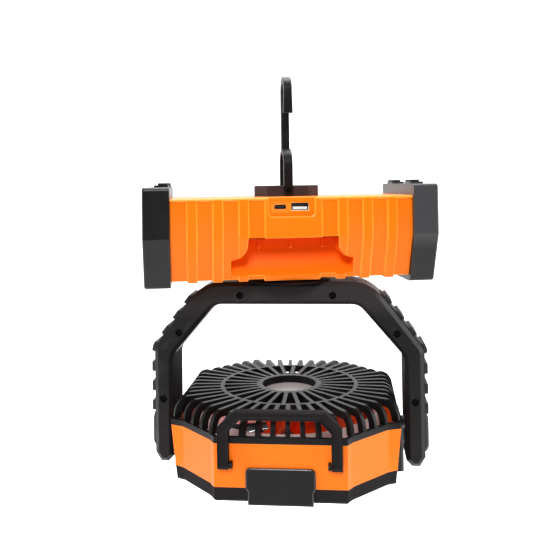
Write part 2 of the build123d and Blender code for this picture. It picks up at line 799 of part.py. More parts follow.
for keep, name in ((Keep.TOP, "bracket_rear_shell"), (Keep.BOTTOM, "bracket_front_shell")):
    with BuildPart() as bracket_shell:
        add(bracket_blank.part)
        split(bisect_by=Plane.XZ, keep=keep)
    save(bracket_shell, name, head_place)

with BuildPart() as bracket_screw_set:
    with BuildSketch(Plane.XZ.offset(half_width - bracket_screw_recess)):
        with Locations(*both_sides(bracket_screws)):
            Circle(bracket_screw_radius - 0.3)
    extrude(amount=2.0)
    with BuildSketch(Plane.XZ.offset(half_width - bracket_screw_recess)):
        with Locations(*both_sides(bracket_screws)):
            Circle(screw_radius)
    extrude(amount=-(bracket_width - 2 * bracket_screw_recess))
save(bracket_screw_set, "bracket_screws", head_place)

# rubber grips: raised treads joined by a thin strip
with BuildPart() as grip_right:
    with BuildSketch(Plane.XZ):
        add(bracket_outline(-strip_thick))
        add(bracket_outline(0), mode=Mode.SUBTRACT)
        Polygon(*strip_region, align=None, mode=Mode.INTERSECT)
    extrude(amount=grip_strip_width / 2 - 1, both=True)
    with BuildSketch(Plane.XZ):
        with Locations(*[Location((x, z), tread_angle) for x, z, tread_angle in treads]):
            Rectangle(tread_length, 3 * tread_thick)
    extrude(amount=grip_strip_width / 2, both=True)
    with BuildSketch(Plane.XZ):
        add(bracket_outline(-tread_thick))
        add(bracket_outline(0), mode=Mode.SUBTRACT)
    extrude(amount=grip_strip_width, both=True, mode=Mode.INTERSECT)
save(grip_right, "grip_right", head_place)

with BuildPart() as grip_left:
    mirror(grip_right.part, about=Plane.YZ)
save(grip_left, "grip_left", head_place)

with BuildPart() as pivot_cap_right:
    with BuildSketch(Plane.YZ.offset(arm_outer)) as cap_face:
        with Locations((0, pivot_z)):
            Rectangle(pivot_cap_width, pivot_cap_length)
        chamfer(cap_face.vertices(), 4.5)
    extrude(amount=pivot_cap_thick)
    chamfer(faces().sort_by(Axis.X)[-1].edges(), 2.0)
save(pivot_cap_right, "pivot_cap_right", head_place)

with BuildPart() as pivot_cap_left:
    mirror(pivot_cap_right.part, about=Plane.YZ)
save(pivot_cap_left, "pivot_cap_left", head_place)

with BuildPart() as pivot_bolts:
    for side in (-1, 1):
        with BuildSketch(Plane.YZ.offset(side * pivot_bolt_start)):
            with Locations((0, pivot_z)):
                Circle(pivot_bolt_radius)
        extrude(amount=side * (pivot_bolt_end - pivot_bolt_start))
        with BuildSketch(Plane.YZ.offset(side * pivot_bolt_start)):
            with Locations((0, pivot_z)):
                RegularPolygon(7.0, 6)
        extrude(amount=side * 3.5)
save(pivot_bolts, "pivot_bolts", head_place)

with BuildPart() as friction_washers:
    for side in (-1, 1):
        with BuildSketch(Plane.YZ.offset(side * (pivot_plate_face + seat_gap))):
            with Locations((0, pivot_z)):
                Circle(pivot_boss_radius)
                Circle(pivot_bolt_radius, mode=Mode.SUBTRACT)
        extrude(amount=side * (arm_inner - pivot_plate_face - seat_gap))
save(friction_washers, "friction_washers", head_place)


# ---------------------------------------------------------------- fan head
def head_corners(side, lip=0.0):
    """The head's outline: four flat facets that stand a little proud of the diagonals."""
    front, half = head_front - lip, facet_half - lip / 2
    near, far = corner_near - lip, corner_far - lip / 2
    right = [(half, front), (near, far), (far, near), (side, half)]
    right += [(x, -y) for x, y in reversed(right)]
    return right + [(-x, -y) for x, y in right]


def reach(corners, angle, offset):
    """How far a ray from the centre goes to the outline, when it is set off sideways."""
    across, along = (-sin(radians(angle)), cos(radians(angle))), (cos(radians(angle)), sin(radians(angle)))
    found = []
    for (x1, y1), (x2, y2) in zip(corners, corners[1:] + corners[:1]):
        side1 = across[0] * x1 + across[1] * y1 - offset
        side2 = across[0] * x2 + across[1] * y2 - offset
        if side1 * side2 <= 0 and side1 != side2:
            part = side1 / (side1 - side2)
            found.append(along[0] * (x1 + part * (x2 - x1)) + along[1] * (y1 + part * (y2 - y1)))
    return max(found)


top_corners = head_corners(head_side_top)
low_corners = head_corners(head_side_bottom)
lip_corners = head_corners(head_side_lip, bezel_lip)

# radial fins of the rear grille, one quarter at first; each follows the shoulder of the outline
fin_floor = grille_top - fin_depth
with BuildPart() as grille_fins:
    for i in range(fin_count // 4):
        angle = (i + 0.5) * 360 / fin_count
        tip = min(reach(top_corners, angle, side * fin_width / 2) for side in (-1, 1)) - 0.2
        knee = tip - shoulder_width
        toward = Vector(cos(radians(angle)), sin(radians(angle)))
        with BuildSketch(Plane((0, 0, 0), x_dir=toward, z_dir=toward.cross(Vector(0, 0, 1)))):
            with BuildLine():
                Polyline((tip - fin_depth, rim_top), (tip - fin_depth, rim_top - 1), (tip, rim_top - 1), (tip, rim_top))
                EllipticalCenterArc((knee, rim_top), shoulder_width, grille_top - rim_top, arc_size=90)
                Polyline(
                    (knee, grille_top), (mid_ring_radius - 1, grille_top), (mid_ring_radius - 1, fin_floor),
                    (knee, fin_floor),
                )
                EllipticalCenterArc(
                    (knee, rim_top), shoulder_width - fin_depth, fin_floor - rim_top, arc_size=90,
                )
            make_face()
    extrude(amount=fin_width / 2, both=True)
    mirror(about=Plane.XZ)
    mirror(about=Plane.YZ)

with BuildPart() as rear_grille:
    with BuildSketch(Plane.XY.offset(grille_top)):
        Circle(mid_ring_radius)
        Circle(mid_ring_radius - mid_ring_width, mode=Mode.SUBTRACT)
        Circle(hub_ring_radius)
        Circle(hub_recess_radius, mode=Mode.SUBTRACT)
    extrude(amount=-fin_depth)
    with BuildSketch(Plane.XY.offset(grille_top)):
        with PolarLocations((mid_ring_radius + hub_ring_radius) / 2 - 1, inner_fin_count, start_angle=90):
            Rectangle(mid_ring_radius - hub_ring_radius, inner_fin_width)
    extrude(amount=-fin_depth)
    # hub well, and the lip its cap rests on
    with BuildSketch(Plane.XY.offset(grille_top - fin_depth)):
        Circle(hub_ring_radius)
        Circle(hub_recess_radius, mode=Mode.SUBTRACT)
    extrude(amount=-(hub_recess_depth + 2 * hub_floor - fin_depth))
    with BuildSketch(Plane.XY.offset(grille_top - hub_recess_depth - hub_floor)):
        Circle(hub_ring_radius)
        Circle(hub_recess_radius - 3, mode=Mode.SUBTRACT)
    extrude(amount=-hub_floor)
    add(grille_fins.part)
    with BuildSketch(Plane.XY.offset(band_top)):
        Polygon(*top_corners, align=None)
        Polygon(*moved_in(top_corners, rim_wall), align=None, mode=Mode.SUBTRACT)
    extrude(amount=rim_top - band_top)
save(rear_grille, "rear_grille", head_place)

with BuildPart() as hub_cap:
    with BuildSketch(Plane.XY.offset(grille_top - hub_recess_depth)):
        Circle(hub_recess_radius - 0.1)
    extrude(amount=-hub_floor)
save(hub_cap, "hub_cap", head_place)

# housing screws sit in the four corners of the head
head_screw_points = [(x * head_screw_offset, y * head_screw_offset) for x in (-1, 1) for y in (-1, 1)]

with BuildPart() as band_solid:
    with BuildSketch(Plane.XY.offset(band_top)):
        Polygon(*top_corners, align=None)
    with BuildSketch(Plane.XY.offset(band_bottom)):
        Polygon(*low_corners, align=None)
    loft()

with BuildPart() as band_housing:
    add(band_solid.part)
    with BuildSketch(Plane.XY.offset(band_top)):
        Polygon(*moved_in(top_corners, band_wall), align=None)
    with BuildSketch(Plane.XY.offset(band_bottom)):
        Polygon(*moved_in(low_corners, band_wall), align=None)
    loft(mode=Mode.SUBTRACT)
    with BuildSketch(Plane.XY.offset(band_bottom + duct_flange)):
        with Locations(*head_screw_points):
            Circle(5.0)
            Circle(screw_radius, mode=Mode.SUBTRACT)
    extrude(amount=14)
    with BuildSketch(Plane.YZ):
        with Locations((0, pivot_z)):
            Circle(pivot_bolt_radius + bore_clearance)
    extrude(amount=arm_outer, both=True, mode=Mode.SUBTRACT)
save(band_housing, "band_housing", head_place)

with BuildPart() as bezel_solid:
    with BuildSketch(Plane.XY.offset(band_bottom)):
        Polygon(*low_corners, align=None)
    with BuildSketch(Plane.XY.offset(bezel_bottom + bezel_lip)):
        Polygon(*head_corners(head_side_lip), align=None)
    loft()
    with BuildSketch(Plane.XY.offset(bezel_bottom + bezel_lip)):
        Polygon(*head_corners(head_side_lip), align=None)
    with BuildSketch(Plane.XY.offset(bezel_bottom)):
        Polygon(*lip_corners, align=None)
    loft()

with BuildPart() as front_bezel:
    add(bezel_solid.part)
    with BuildSketch(Plane.XY.offset(band_bottom)):
        Polygon(*moved_in(low_corners, bezel_wall), align=None)
    extrude(amount=bezel_bottom + bezel_floor - band_bottom, mode=Mode.SUBTRACT)
    with BuildSketch(Plane.XY.offset(bezel_bottom)):
        Circle(lens_outer)
    extrude(amount=bezel_floor, mode=Mode.SUBTRACT)
    with BuildSketch(Plane.XY.offset(bezel_bottom + bezel_floor)):
        with Locations(*head_screw_points):
            Circle(5.0)
            Circle(screw_radius, mode=Mode.SUBTRACT)
    extrude(amount=band_bottom - bezel_bottom - bezel_floor)
    with BuildSketch(Plane.XY.offset(bezel_bottom)):
        with Locations(*head_screw_points):
            Circle(screw_head_radius)
    extrude(amount=bezel_floor, mode=Mode.SUBTRACT)
save(front_bezel, "front_bezel", head_place)

with BuildPart() as head_screws:
    with BuildSketch(Plane.XY.offset(bezel_bottom + bezel_floor)):
        with Locations(*head_screw_points):
            Circle(screw_radius)
    extrude(amount=band_bottom - bezel_bottom - bezel_floor + duct_flange + 10)
    with BuildSketch(Plane.XY.offset(bezel_bottom + bezel_floor)):
        with Locations(*head_screw_points):
            Circle(screw_head_radius)
    extrude(amount=-2.0)
save(head_screws, "head_screws", head_place)

# air duct, with a flange held between the band and the bezel
with BuildPart() as duct_ring:
    with BuildSketch(Plane.XY.offset(band_bottom)):
        Polygon(*moved_in(low_corners, band_wall), align=None)
        Circle(duct_radius - duct_wall, mode=Mode.SUBTRACT)
        with Locations(*head_screw_points):
            Circle(screw_radius, mode=Mode.SUBTRACT)
    extrude(amount=duct_flange)
    with BuildSketch(Plane.XY.offset(band_bottom)):
        Circle(duct_radius)
        Circle(duct_radius - duct_wall, mode=Mode.SUBTRACT)
    extrude(amount=duct_top - band_bottom)
save(duct_ring, "duct_ring", head_place)

with BuildPart() as lamp_lens:
    with BuildSketch(Plane.XY.offset(bezel_bottom + 0.5)):
        Circle(lens_outer)
        Circle(duct_radius - duct_wall, mode=Mode.SUBTRACT)
    extrude(amount=lens_thick)
save(lamp_lens, "lamp_lens", head_place)

with BuildPart() as lamp_board:
    with BuildSketch(Plane.XY.offset(band_bottom)):
        Circle(lens_outer - 1.5)
        Circle(duct_radius - duct_wall, mode=Mode.SUBTRACT)
    extrude(amount=-board_thick)
    with BuildSketch(Plane.XY.offset(band_bottom - board_thick)):
        with PolarLocations((lens_outer + duct_radius) / 2 - 1, lamp_count):
            Rectangle(2.8, 3.5)
    extrude(amount=-0.9)
save(lamp_board, "lamp_board", head_place)

# front grille: a collar inside the duct, two rings and spokes round a plain hub
guard_outer = duct_radius - duct_wall
with BuildPart() as front_grille:
    with BuildSketch(Plane.XY.offset(bezel_bottom)):
        Circle(guard_outer)
        Circle(guard_outer - front_ring_width, mode=Mode.SUBTRACT)
    extrude(amount=guard_collar)
    with BuildSketch(Plane.XY.offset(bezel_bottom)):
        for radius in front_rings:
            Circle(radius)
            Circle(radius - front_bar_width, mode=Mode.SUBTRACT)
        Circle(front_hub_radius)
        with PolarLocations((guard_outer + front_hub_radius) / 2 - 1, front_bar_count):
            Rectangle(guard_outer - front_hub_radius, front_bar_width)
    extrude(amount=front_grille_thick)
save(front_grille, "front_grille", head_place)

with BuildPart() as motor_mount:
    with BuildSketch(Plane.XY.offset(motor_floor)):
        Circle(front_hub_radius)
        with PolarLocations((guard_outer + front_hub_radius) / 2 - 2, spoke_count, start_angle=90):
            Rectangle(guard_outer - front_hub_radius, spoke_width)
        with BuildSketch(mode=Mode.INTERSECT):
            Circle(guard_outer - front_ring_width)
    extrude(amount=-2.5)
save(motor_mount, "motor_mount", head_place)

with BuildPart() as motor:
    with BuildSketch(Plane.XY.offset(motor_floor)):
        Circle(motor_radius)
        Circle(shaft_radius + bore_clearance, mode=Mode.SUBTRACT)
    extrude(amount=motor_height)
    fillet(edges().filter_by(GeomType.CIRCLE).group_by(Axis.Z)[-1].sort_by(SortBy.LENGTH)[-1], 1.2)
save(motor, "motor", head_place)

# rotor
blade_floor = rotor_top - rotor_height
blade_sections = (
    (rotor_hub_radius - 2, blade_root_chord, blade_root_pitch),
    (blade_radius + 2, blade_tip_chord, blade_tip_pitch),
)
with BuildPart() as motor_shaft:
    with BuildSketch(Plane.XY.offset(motor_floor + 1)):
        Circle(shaft_radius)
    extrude(amount=rotor_top - 3 - motor_floor - 1)
save(motor_shaft, "motor_shaft", head_place)

with BuildPart() as fan_blades:
    for i in range(blade_count):
        turn = radians(360 * i / blade_count)
        outward = Vector(cos(turn), sin(turn), 0)
        for radius, chord, pitch in blade_sections:
            flat = Vector(-sin(turn), cos(turn), 0) * cos(radians(pitch))
            middle = outward * radius + Vector(0, 0, blade_floor + rotor_height / 2)
            lie = flat + Vector(0, 0, sin(radians(pitch)))
            with BuildSketch(Plane(middle, x_dir=lie, z_dir=outward)):
                Rectangle(chord, blade_thick)
        loft()
    with BuildSketch(Plane.XY.offset(blade_floor)):
        Circle(blade_radius)
        Circle(rotor_hub_radius - 1, mode=Mode.SUBTRACT)
    extrude(amount=rotor_height, mode=Mode.INTERSECT)
    with BuildSketch(Plane.XZ) as hub_half:
        with BuildLine():
            Polyline(
                (shaft_radius, rotor_top - rotor_wall), (shaft_radius, rotor_top),
                (rotor_hub_radius - 3, rotor_top),
            )
            RadiusArc((rotor_hub_radius - 3, rotor_top), (rotor_hub_radius, rotor_top - 3), 3)
            Polyline(
                (rotor_hub_radius, rotor_top - 3), (rotor_hub_radius, blade_floor),
                (rotor_hub_radius - rotor_wall, blade_floor),
                (rotor_hub_radius - rotor_wall, rotor_top - rotor_wall),
                (shaft_radius, rotor_top - rotor_wall),
            )
        make_face()
    revolve(axis=Axis.Z)
    with BuildSketch(Plane.XY.offset(rotor_top - 1)):
        Circle(shaft_radius + 3)
        Circle(shaft_radius, mode=Mode.SUBTRACT)
    extrude(amount=-(rotor_height - 5))
save(fan_blades, "fan_blades", head_place)

# plates on the facets
with BuildPart() as pivot_plate_right:
    with BuildSketch(Plane.YZ.offset(pivot_plate_face)):
        with Locations((0, -(pivot_plate_top - bezel_bottom) / 2)):
            Rectangle(pivot_plate_width, -bezel_bottom - pivot_plate_top)
    extrude(amount=-12)
    chamfer(faces().sort_by(Axis.X)[-1].edges().filter_by(Axis.Z), 1.6)
    chamfer(faces().sort_by(Axis.X)[-1].edges().group_by(Axis.Z)[-1], 1.6)
    add(band_solid.part, mode=Mode.SUBTRACT)
    add(bezel_solid.part, mode=Mode.SUBTRACT)
    with BuildSketch(Plane.YZ):
        with Locations((0, pivot_z)):
            Circle(pivot_bolt_radius + bore_clearance)
    extrude(amount=arm_outer, mode=Mode.SUBTRACT)
save(pivot_plate_right, "pivot_plate_right", head_place)

with BuildPart() as pivot_plate_left:
    mirror(pivot_plate_right.part, about=Plane.YZ)
save(pivot_plate_left, "pivot_plate_left", head_place)

facet = Plane.XZ.offset(head_front)
with BuildPart() as rear_plate:
    with BuildSketch(facet) as plate_face:
        with BuildLine():
            Polyline(
                (-plate_half, plate_step), (-plate_half, plate_top), (plate_half, plate_top),
                (plate_half, plate_step), (plate_lower_half, plate_step - 1.2),
                (plate_lower_half, plate_bottom), (-plate_lower_half, plate_bottom),
                (-plate_lower_half, plate_step - 1.2), (-plate_half, plate_step),
            )
        make_face()
        fillet(plate_face.vertices().group_by(Axis.Y)[-1], plate_corner)
    extrude(amount=plate_thick)
    chamfer(faces().sort_by(Axis.Y)[0].edges(), 0.6)
save(rear_plate, "rear_plate", head_place)

# bail handle, hinged on lugs at its feet
with BuildPart() as bail_lugs:
    for side in (-1, 1):
        with BuildSketch(Plane.YZ.offset(side * (bail_inner - seat_gap))):
            with BuildLine():
                Polyline(
                    (pin_y, bail_pin_z + lug_height / 2), (-head_front, bail_pin_z + lug_height / 2),
                    (-head_front, bail_pin_z - lug_height / 2), (pin_y, bail_pin_z - lug_height / 2),
                )
                RadiusArc(
                    (pin_y, bail_pin_z - lug_height / 2), (pin_y, bail_pin_z + lug_height / 2), lug_height / 2,
                )
            make_face()
            with Locations((pin_y, bail_pin_z)):
                Circle(bail_pin_radius, mode=Mode.SUBTRACT)
        extrude(amount=-side * lug_thick)
save(bail_lugs, "bail_lugs", head_place)

with BuildPart() as bail_pins:
    for side in (-1, 1):
        with BuildSketch(Plane.YZ.offset(side * (bail_inner - seat_gap - lug_thick))):
            with Locations((pin_y, bail_pin_z)):
                Circle(bail_pin_radius)
        extrude(amount=side * (bail_outer - 1.0 - bail_inner + seat_gap + lug_thick))
save(bail_pins, "bail_pins", head_place)

with BuildPart() as bail:
    foot_z = bail_pin_z - bail_thick / 2
    with BuildSketch(Plane.XZ.offset(-pin_y)) as bail_face:
        with BuildLine():
            Polyline(
                (-bail_outer, foot_z), (-bail_outer, bail_top - bail_corner),
                (-bail_outer + bail_corner, bail_top), (bail_outer - bail_corner, bail_top),
                (bail_outer, bail_top - bail_corner), (bail_outer, foot_z), (bail_inner, foot_z),
                (bail_inner, bail_top - bail_inner_corner - bail_bar),
                (bail_inner - bail_inner_corner, bail_top - bail_bar),
                (bail_inner_corner - bail_inner, bail_top - bail_bar),
                (-bail_inner, bail_top - bail_inner_corner - bail_bar), (-bail_inner, foot_z),
                (-bail_outer, foot_z),
            )
        make_face()
    extrude(amount=bail_thick / 2, both=True)
    fillet(edges().filter_by(Axis.X).group_by(Axis.Z)[0], bail_thick / 2 - 0.05)
    chamfer(edges().filter_by(Axis.Z, reverse=True).group_by(Axis.Z)[-1].filter_by(Axis.X), 1.2)
    with BuildSketch(Plane.YZ):
        with Locations((pin_y, bail_pin_z)):
            Circle(bail_pin_radius + bore_clearance)
    extrude(amount=bail_outer - 0.9, both=True, mode=Mode.SUBTRACT)
save(bail, "bail", head_place)
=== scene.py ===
"""Looks of the portable camping fan: battery base, folding hook, C-bracket and fan head."""
import json
import math

import bmesh
import bpy
from mathutils import Matrix, Vector


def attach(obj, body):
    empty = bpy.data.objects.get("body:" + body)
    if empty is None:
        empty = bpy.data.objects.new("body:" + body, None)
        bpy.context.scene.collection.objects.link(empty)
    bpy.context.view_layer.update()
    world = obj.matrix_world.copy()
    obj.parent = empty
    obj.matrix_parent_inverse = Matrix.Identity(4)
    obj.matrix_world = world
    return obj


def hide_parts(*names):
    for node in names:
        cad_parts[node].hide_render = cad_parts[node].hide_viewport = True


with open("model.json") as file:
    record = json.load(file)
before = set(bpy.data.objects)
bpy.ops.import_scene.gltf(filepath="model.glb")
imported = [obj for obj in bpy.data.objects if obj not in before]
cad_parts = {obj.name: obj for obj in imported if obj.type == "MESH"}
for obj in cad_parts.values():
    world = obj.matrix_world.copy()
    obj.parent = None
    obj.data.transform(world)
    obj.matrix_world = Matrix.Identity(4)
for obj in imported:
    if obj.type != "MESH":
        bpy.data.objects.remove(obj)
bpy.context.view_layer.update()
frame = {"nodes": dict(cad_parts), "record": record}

MM = 0.001
IMAGE_SIDE = 533
SWIVEL_TURN = math.radians(-12.3)      # bracket and head, about the swivel
HANG_HEIGHT = 157.3                    # hang point above the base's swivel side
HANG_DEPTH = 6.4                       # base's middle behind the hang point


def in_base(x, y, z):
    """Place of a point given in mm from the middle of the base's swivel side."""
    return Vector((x, y + HANG_DEPTH, z - HANG_HEIGHT)) * MM


def in_head(x, y, z):
    """Place of a point given in mm from the swivel, along the bracket's width, depth and height."""
    cos, sin = math.cos(SWIVEL_TURN), math.sin(SWIVEL_TURN)
    return in_base(x * cos - y * sin, x * sin + y * cos, z)


def link_new(name, data):
    """New object in the scene."""
    made = bpy.data.objects.new(name, data)
    bpy.context.collection.objects.link(made)
    return made


# ---------------------------------------------------------------- camera
CAMERA_AT = (-72.6, -553.8, 78.4)      # mm, in the base's frame
CAMERA_YAW = math.radians(-7.06)
CAMERA_PITCH = math.radians(1.19)
CAMERA_ROLL = math.radians(0.83)
FOCAL_PIXELS = 689.3
CENTRE_PIXELS = (281.1, 168.2)
SENSOR = 36.0


def add_camera():
    """Camera in front of the hand grip, level with the feet."""
    data = bpy.data.cameras.new("camera")
    camera = link_new("camera", data)
    data.sensor_width = SENSOR
    data.lens = FOCAL_PIXELS * SENSOR / IMAGE_SIDE
    data.shift_x = (IMAGE_SIDE / 2 - CENTRE_PIXELS[0]) / IMAGE_SIDE
    data.shift_y = (CENTRE_PIXELS[1] - IMAGE_SIDE / 2) / IMAGE_SIDE
    data.clip_start, data.clip_end = 0.01, 20
    level = Vector((-math.sin(CAMERA_YAW), math.cos(CAMERA_YAW), 0))
    right = Vector((math.cos(CAMERA_YAW), math.sin(CAMERA_YAW), 0))
    up = Vector((0, 0, 1))
    forward = level * math.cos(CAMERA_PITCH) + up * math.sin(CAMERA_PITCH)
    lift = up * math.cos(CAMERA_PITCH) - level * math.sin(CAMERA_PITCH)
    across = right * math.cos(CAMERA_ROLL) - lift * math.sin(CAMERA_ROLL)
    over = right * math.sin(CAMERA_ROLL) + lift * math.cos(CAMERA_ROLL)
    turn = Matrix((across, over, -forward)).transposed().to_4x4()
    camera.matrix_world = Matrix.Translation(in_base(*CAMERA_AT)) @ turn
    bpy.context.scene.camera = camera


# ---------------------------------------------------------------- shader nodes
FLOAT, COLOUR = "NodeSocketFloat", "NodeSocketColor"


def set_inputs(made, **values):
    """Sets a node's inputs by name, with _ for a space, to plain values or links to sockets."""
    for name, value in values.items():
        socket = made.inputs[name.replace("_", " ")]
        if isinstance(value, bpy.types.NodeSocket):
            made.id_data.links.new(value, socket)
        else:
            socket.default_value = value


def node(tree, kind, **values):
    """New node: lower-case names set its properties, the others its inputs."""
    made = tree.nodes.new(kind)
    for name in [name for name in values if name.islower()]:
        setattr(made, name, values.pop(name))
    set_inputs(made, **values)
    return made


def arithmetic(tree, operation, *terms):
    """Output of a Math node whose terms are numbers or sockets."""
    made = node(tree, "ShaderNodeMath", operation=operation)
    for socket, term in zip(made.inputs, terms):
        if isinstance(term, bpy.types.NodeSocket):
            tree.links.new(term, socket)
        else:
            socket.default_value = term
    return made.outputs[0]


def mix_colours(tree, factor, first, second):
    """Mix of two colours by a factor socket."""
    return node(tree, "ShaderNodeMix", data_type="RGBA", Factor=factor, A=first, B=second).outputs["Result"]


def map_range(tree, value, low, high, least=0.0):
    """A value stretched so that low gives least and high gives 1."""
    made = node(tree, "ShaderNodeMapRange", Value=value, From_Min=low, From_Max=high, To_Min=least)
    return made.outputs["Result"]


def object_place(tree):
    """Object coordinates of the piece."""
    return node(tree, "ShaderNodeTexCoord").outputs["Object"]


def along(tree, axis):
    """Object coordinate along one axis."""
    return node(tree, "ShaderNodeSeparateXYZ", Vector=object_place(tree)).outputs[axis]


def height_mask(tree, low, high):
    """0 below and 1 above two heights, in mm above the base's swivel side."""
    return map_range(tree, along(tree, "Z"), in_base(0, 0, low).z, in_base(0, 0, high).z)


def noise(tree, scale, detail):
    """Noise on object coordinates."""
    made = node(tree, "ShaderNodeTexNoise", Vector=object_place(tree), Scale=scale, Detail=detail)
    return made.outputs["Fac"]


def new_material(name):
    """Empty Principled material and its shader node."""
    material = bpy.data.materials.new(name)
    material.use_nodes = True
    return material, material.node_tree.nodes["Principled BSDF"]


def new_group(name, inputs, outputs):
    """Shader group with named sockets: inputs as (name, kind, default)."""
    group = bpy.data.node_groups.new(name, "ShaderNodeTree")
    for label, kind, default in inputs:
        socket = group.interface.new_socket(label, in_out="INPUT", socket_type=kind)
        socket.default_value = default
    for label, kind in outputs:
        group.interface.new_socket(label, in_out="OUTPUT", socket_type=kind)
    return group, group.nodes.new("NodeGroupInput"), group.nodes.new("NodeGroupOutput")


# ---------------------------------------------------------------- stage and light
ROOM_GLOW = 0.06                       # light of the room around the stage
STAGE_GLOW = 0.12                      # light that the stage throws
STAGE_SHEEN = 0.95                     # and what is added where it is seen or mirrored
MIRRORED_DEPTHS = (-0.6, 0.5)          # m, between which the mirrored sheet grows bright
MIRRORED_LEAST = 0.12                  # share of the sheen in front of them
STAGE_FRONT, STAGE_FLAT_END = -3.0, 1.6    # m
STAGE_LOW, STAGE_HIGH = -0.62, 2.6
STAGE_SWEEP, STAGE_SWEEP_STEPS = 0.9, 12   # radius of the sheet's bend
STAGE_HALF = 4.0
LIGHT_AIM = (0, 0, -0.15)
# each softbox: name, place, width and height in m, power in W
SOFTBOXES = (
    ("overhead", (0.05, 0.30, 1.0), 0.8, 0.7, 26),
    ("front_key", (-0.35, -1.45, 1.0), 0.6, 0.6, 30),
    ("left_strip", (-1.3, -0.25, 0.35), 0.35, 1.1, 11),
    ("right_strip", (1.3, -0.25, 0.15), 0.35, 1.1, 16),
)


def add_stage():
    """Pale floor that sweeps up into a backdrop, well clear of the hanging fan."""
    outline = [(STAGE_FRONT, STAGE_LOW), (STAGE_FLAT_END, STAGE_LOW)]
    for i in range(1, STAGE_SWEEP_STEPS + 1):
        angle = i / STAGE_SWEEP_STEPS * math.pi / 2
        rise = STAGE_SWEEP * (1 - math.cos(angle))
        outline.append((STAGE_FLAT_END + STAGE_SWEEP * math.sin(angle), STAGE_LOW + rise))
    outline.append((STAGE_FLAT_END + STAGE_SWEEP, STAGE_HIGH))
    mesh = bmesh.new()
    rows = [[mesh.verts.new((x, y, z)) for x in (-STAGE_HALF, STAGE_HALF)] for y, z in outline]
    for near, far in zip(rows, rows[1:]):
        mesh.faces.new((near[0], near[1], far[1], far[0])).smooth = True
    floor = link_new("floor", bpy.data.meshes.new("floor"))
    mesh.to_mesh(floor.data)
    mesh.free()
    floor.data.materials.append(stage_paint())


def stage_paint():
    """Matt white studio sheet, brighter to the eye than what it throws on the fan."""
    material, shader = new_material("studio_white")
    tree = material.node_tree
    seen = node(tree, "ShaderNodeLightPath")
    behind = map_range(tree, along(tree, "Y"), *MIRRORED_DEPTHS, least=MIRRORED_LEAST)
    mirrored = arithmetic(tree, "MULTIPLY", seen.outputs["Is Glossy Ray"], behind)
    shown = arithmetic(tree, "MAXIMUM", seen.outputs["Is Camera Ray"], mirrored)
    set_inputs(
        shader, Base_Color=(0.9, 0.9, 0.9, 1), Roughness=0.9, Specular_IOR_Level=0.0,
        Emission_Color=(1, 1, 1, 1),
        Emission_Strength=arithmetic(tree, "MULTIPLY_ADD", shown, STAGE_SHEEN, STAGE_GLOW),
    )
    return material


def add_light(name, at, width, height, power):
    """Rectangular softbox that points at the fan."""
    data = bpy.data.lights.new(name, "AREA")
    data.shape = "RECTANGLE"
    data.size, data.size_y = width, height
    data.energy = power
    light = link_new(name, data)
    light.location = at
    light.rotation_euler = (Vector(LIGHT_AIM) - Vector(at)).to_track_quat("-Z", "Y").to_euler()


def add_lights():
    """Softboxes above, in front and at both sides, in a white room that glows faintly."""
    for softbox in SOFTBOXES:
        add_light(*softbox)
    world = bpy.data.worlds.new("studio")
    bpy.context.scene.world = world
    world.use_nodes = True
    tree = world.node_tree
    seen = node(tree, "ShaderNodeLightPath").outputs["Is Camera Ray"]
    glow = arithmetic(tree, "ADD", seen, ROOM_GLOW)
    set_inputs(tree.nodes["Background"], Color=(1, 1, 1, 1), Strength=glow)
    bpy.context.scene.view_settings.view_transform = "Standard"


# ---------------------------------------------------------------- finishes
def make_grain_group():
    """Fine moulded grain with a slow unevenness: a height, a roughness and the unevenness itself."""
    group, start, end = new_group(
        "moulded_grain",
        [("Grain Size", FLOAT, 1500.0), ("Roughness", FLOAT, 0.4), ("Variation", FLOAT, 0.1)],
        [("Height", FLOAT), ("Roughness", FLOAT), ("Cloud", FLOAT)],
    )
    fine = noise(group, scale=start.outputs["Grain Size"], detail=3.0)
    slow = noise(group, scale=28.0, detail=4.0)
    shift = arithmetic(group, "SUBTRACT", slow, 0.5)
    spread = arithmetic(
        group, "MULTIPLY_ADD", shift, start.outputs["Variation"], start.outputs["Roughness"],
    )
    set_inputs(end, Height=fine, Roughness=spread, Cloud=slow)
    return group


def make_edge_wear_and_highlight_group():
    """Edges made a little lighter where they are sharp, broken up by noise: partly from rubbing, partly a
    painted highlight.
    """
    group, start, end = new_group(
        "edge_wear_and_highlight",
        [("Colour", COLOUR, (1, 1, 1, 1)), ("Worn Colour", COLOUR, (1, 1, 1, 1)), ("Amount", FLOAT, 0.4)],
        [("Colour", COLOUR)],
    )
    pointed = node(group, "ShaderNodeNewGeometry").outputs["Pointiness"]
    edges = map_range(group, pointed, low=0.52, high=0.62)
    patches = map_range(group, noise(group, scale=160.0, detail=5.0), low=0.42, high=0.6)
    both = arithmetic(group, "MULTIPLY", edges, patches)
    rubbed = arithmetic(group, "MULTIPLY", both, start.outputs["Amount"])
    colour = mix_colours(group, rubbed, start.outputs["Colour"], start.outputs["Worn Colour"])
    set_inputs(end, Colour=colour)
    return group


GRAIN = make_grain_group()
EDGE_WEAR_AND_HIGHLIGHT = make_edge_wear_and_highlight_group()


def grained(shader, grain, roughness, variation, strength, distance):
    """Gives a shader fine relief and an uneven roughness, and returns the slow unevenness."""
    tree = shader.id_data
    surface = node(
        tree, "ShaderNodeGroup", node_tree=GRAIN, Grain_Size=grain, Roughness=roughness, Variation=variation,
    )
    relief = node(
        tree, "ShaderNodeBump", Height=surface.outputs["Height"], Strength=strength, Distance=distance,
    )
    set_inputs(shader, Roughness=surface.outputs["Roughness"], Normal=relief.outputs["Normal"])
    return surface.outputs["Cloud"]


